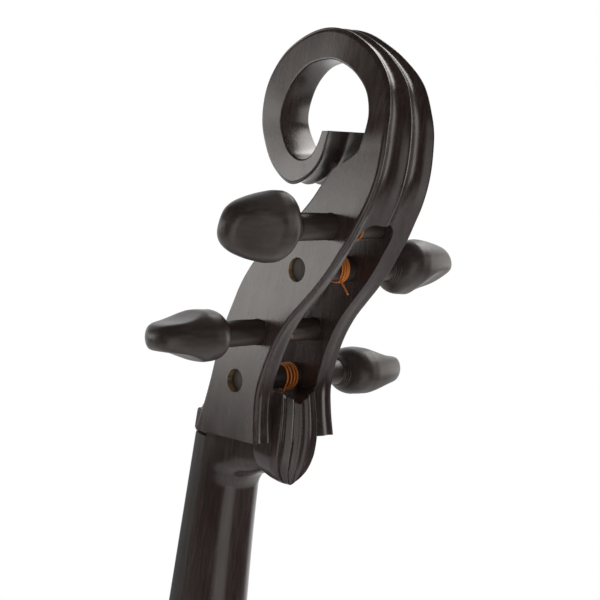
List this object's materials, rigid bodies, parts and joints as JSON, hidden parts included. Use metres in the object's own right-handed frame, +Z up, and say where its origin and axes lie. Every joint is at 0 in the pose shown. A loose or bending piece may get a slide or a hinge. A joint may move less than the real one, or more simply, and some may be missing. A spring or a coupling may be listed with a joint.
{
  "type": "electric cello",
  "caption": "Full-size electric cello with a slim black core, open side wings, an open ring scroll, tapered pegs with orange silk windings, bridge pickup, controls and a sliding endpin.",
  "frame": {"origin": "on the flat back of the body core, in its middle, 330 mm below the top of the core, where a wall plate or stand takes it", "axes": "+Z up along the neck to the scroll, -Y to the front where the strings and the bow are, +X to the treble side"},
  "size_m": [0.438, 0.14, 1.3154],
  "materials": {
    "black_wood": "black-stained, satin lacquer",
    "ebony": "oiled, satin",
    "peg_wood": "dark brown-black, matte",
    "silk": "orange thread wrapping",
    "string_steel": "fine winding",
    "maple": "satin",
    "bright_metal": "polished",
    "piezo_brass": "satin",
    "black_metal": "black, satin",
    "rubber": "matte",
    "circuit": "green board",
    "black_plastic": "satin",
    "battery_case": "plain"
  },
  "bodies": {
    "cello_frame": {"neck_and_head": "black_wood", "nut": "ebony", "fingerboard": "ebony", "string_a": "string_steel", "string_d": "string_steel", "string_g": "string_steel", "string_c": "string_steel", "body_core": "black_wood", "neck_screw_upper": "bright_metal", "neck_screw_lower": "bright_metal", "wing_bass": "black_wood", "wing_screw_bass_upper": "bright_metal", "wing_screw_bass_lower": "bright_metal", "piezo_bass": "piezo_brass", "wing_treble": "black_wood", "wing_screw_treble_upper": "bright_metal", "wing_screw_treble_lower": "bright_metal", "piezo_treble": "piezo_brass", "bridge": "maple", "saddle": "ebony", "tailpiece": "ebony", "tail_cord": "black_plastic", "endpin_collar": "ebony", "control_plate": "black_metal", "plate_screw_upper": "bright_metal", "plate_screw_lower": "bright_metal", "volume_pot": "bright_metal", "tone_pot": "bright_metal", "output_jack": "bright_metal", "headphone_jack": "bright_metal", "preamp_board": "circuit", "piezo_lead": "black_plastic", "battery_box": "black_plastic", "battery": "battery_case", "door_hinge_pin": "bright_metal"},
    "peg_a_turning": {"peg_a": "peg_wood", "winding_a": "silk"},
    "peg_d_turning": {"peg_d": "peg_wood", "winding_d": "silk"},
    "peg_g_turning": {"peg_g": "peg_wood", "winding_g": "silk"},
    "peg_c_turning": {"peg_c": "peg_wood", "winding_c": "silk"},
    "tuner_screw_a_turning": {"tuner_screw_a": "black_metal"},
    "tuner_lever_a_rocking": {"tuner_lever_a": "black_metal"},
    "tuner_screw_d_turning": {"tuner_screw_d": "black_metal"},
    "tuner_lever_d_rocking": {"tuner_lever_d": "black_metal"},
    "tuner_screw_g_turning": {"tuner_screw_g": "black_metal"},
    "tuner_lever_g_rocking": {"tuner_lever_g": "black_metal"},
    "tuner_screw_c_turning": {"tuner_screw_c": "black_metal"},
    "tuner_lever_c_rocking": {"tuner_lever_c": "black_metal"},
    "endpin_sliding": {"endpin_rod": "bright_metal", "rubber_tip": "rubber"},
    "clamp_screw_turning": {"endpin_clamp_screw": "bright_metal"},
    "volume_turning": {"volume_knob": "black_plastic", "volume_spindle": "bright_metal"},
    "tone_turning": {"tone_knob": "black_plastic", "tone_spindle": "bright_metal"},
    "battery_door_swinging": {"battery_door": "black_plastic"}
  },
  "joints": [
    {"name": "peg_a_turn", "type": "hinge", "parent": "cello_frame", "child": "peg_a_turning", "pos_m": [0, -0.0401, 0.6745], "axis": [1, 0, 0], "continuous": true},
    {"name": "peg_d_turn", "type": "hinge", "parent": "cello_frame", "child": "peg_d_turning", "pos_m": [0, -0.0037, 0.7335], "axis": [1, 0, 0], "continuous": true},
    {"name": "peg_g_turn", "type": "hinge", "parent": "cello_frame", "child": "peg_g_turning", "pos_m": [0, -0.0203, 0.7096], "axis": [-1, 0, 0], "continuous": true},
    {"name": "peg_c_turn", "type": "hinge", "parent": "cello_frame", "child": "peg_c_turning", "pos_m": [0, -0.05, 0.6475], "axis": [-1, 0, 0], "continuous": true},
    {"name": "tuner_screw_a_turn", "type": "hinge", "parent": "cello_frame", "child": "tuner_screw_a_turning", "pos_m": [0.0235, -0.07762, -0.231], "axis": [0, 1, 0], "range_deg": [0, 1440]},
    {"name": "tuner_lever_a_rock", "type": "hinge", "parent": "cello_frame", "child": "tuner_lever_a_rocking", "pos_m": [0.0235, -0.07476, -0.215], "axis": [1, 0, 0], "range_deg": [0, 9]},
    {"name": "tuner_screw_d_turn", "type": "hinge", "parent": "cello_frame", "child": "tuner_screw_d_turning", "pos_m": [0.00783, -0.07762, -0.231], "axis": [0, 1, 0], "range_deg": [0, 1440]},
    {"name": "tuner_lever_d_rock", "type": "hinge", "parent": "cello_frame", "child": "tuner_lever_d_rocking", "pos_m": [0.00783, -0.07476, -0.215], "axis": [1, 0, 0], "range_deg": [0, 9]},
    {"name": "tuner_screw_g_turn", "type": "hinge", "parent": "cello_frame", "child": "tuner_screw_g_turning", "pos_m": [-0.00783, -0.07762, -0.231], "axis": [0, 1, 0], "range_deg": [0, 1440]},
    {"name": "tuner_lever_g_rock", "type": "hinge", "parent": "cello_frame", "child": "tuner_lever_g_rocking", "pos_m": [-0.00783, -0.07476, -0.215], "axis": [1, 0, 0], "range_deg": [0, 9]},
    {"name": "tuner_screw_c_turn", "type": "hinge", "parent": "cello_frame", "child": "tuner_screw_c_turning", "pos_m": [-0.0235, -0.07762, -0.231], "axis": [0, 1, 0], "range_deg": [0, 1440]},
    {"name": "tuner_lever_c_rock", "type": "hinge", "parent": "cello_frame", "child": "tuner_lever_c_rocking", "pos_m": [-0.0235, -0.07476, -0.215], "axis": [1, 0, 0], "range_deg": [0, 9]},
    {"name": "endpin_slide", "type": "slide", "parent": "cello_frame", "child": "endpin_sliding", "axis": [0, 0, -1], "range_m": [0, 0.35]},
    {"name": "clamp_screw_turn", "type": "hinge", "parent": "cello_frame", "child": "clamp_screw_turning", "pos_m": [0, -0.022, -0.444], "axis": [0, -1, 0], "range_deg": [0, 720]},
    {"name": "volume_turn", "type": "hinge", "parent": "cello_frame", "child": "volume_turning", "pos_m": [0.0508, -0.0225, -0.201], "axis": [1, 0, 0], "range_deg": [-150, 150]},
    {"name": "tone_turn", "type": "hinge", "parent": "cello_frame", "child": "tone_turning", "pos_m": [0.0508, -0.0225, -0.235], "axis": [1, 0, 0], "range_deg": [-150, 150]},
    {"name": "battery_door_swing", "type": "hinge", "parent": "cello_frame", "child": "battery_door_swinging", "pos_m": [-0.039, -0.0022, -0.19925], "axis": [0, 0, 1], "range_deg": [0, 90]}
  ],
  "couplings": [
    {"joint": "tuner_lever_a_rock", "follows": "tuner_screw_a_turn", "ratio": 0.00625},
    {"joint": "tuner_lever_d_rock", "follows": "tuner_screw_d_turn", "ratio": 0.00625},
    {"joint": "tuner_lever_g_rock", "follows": "tuner_screw_g_turn", "ratio": 0.00625},
    {"joint": "tuner_lever_c_rock", "follows": "tuner_screw_c_turn", "ratio": 0.00625}
  ]
}
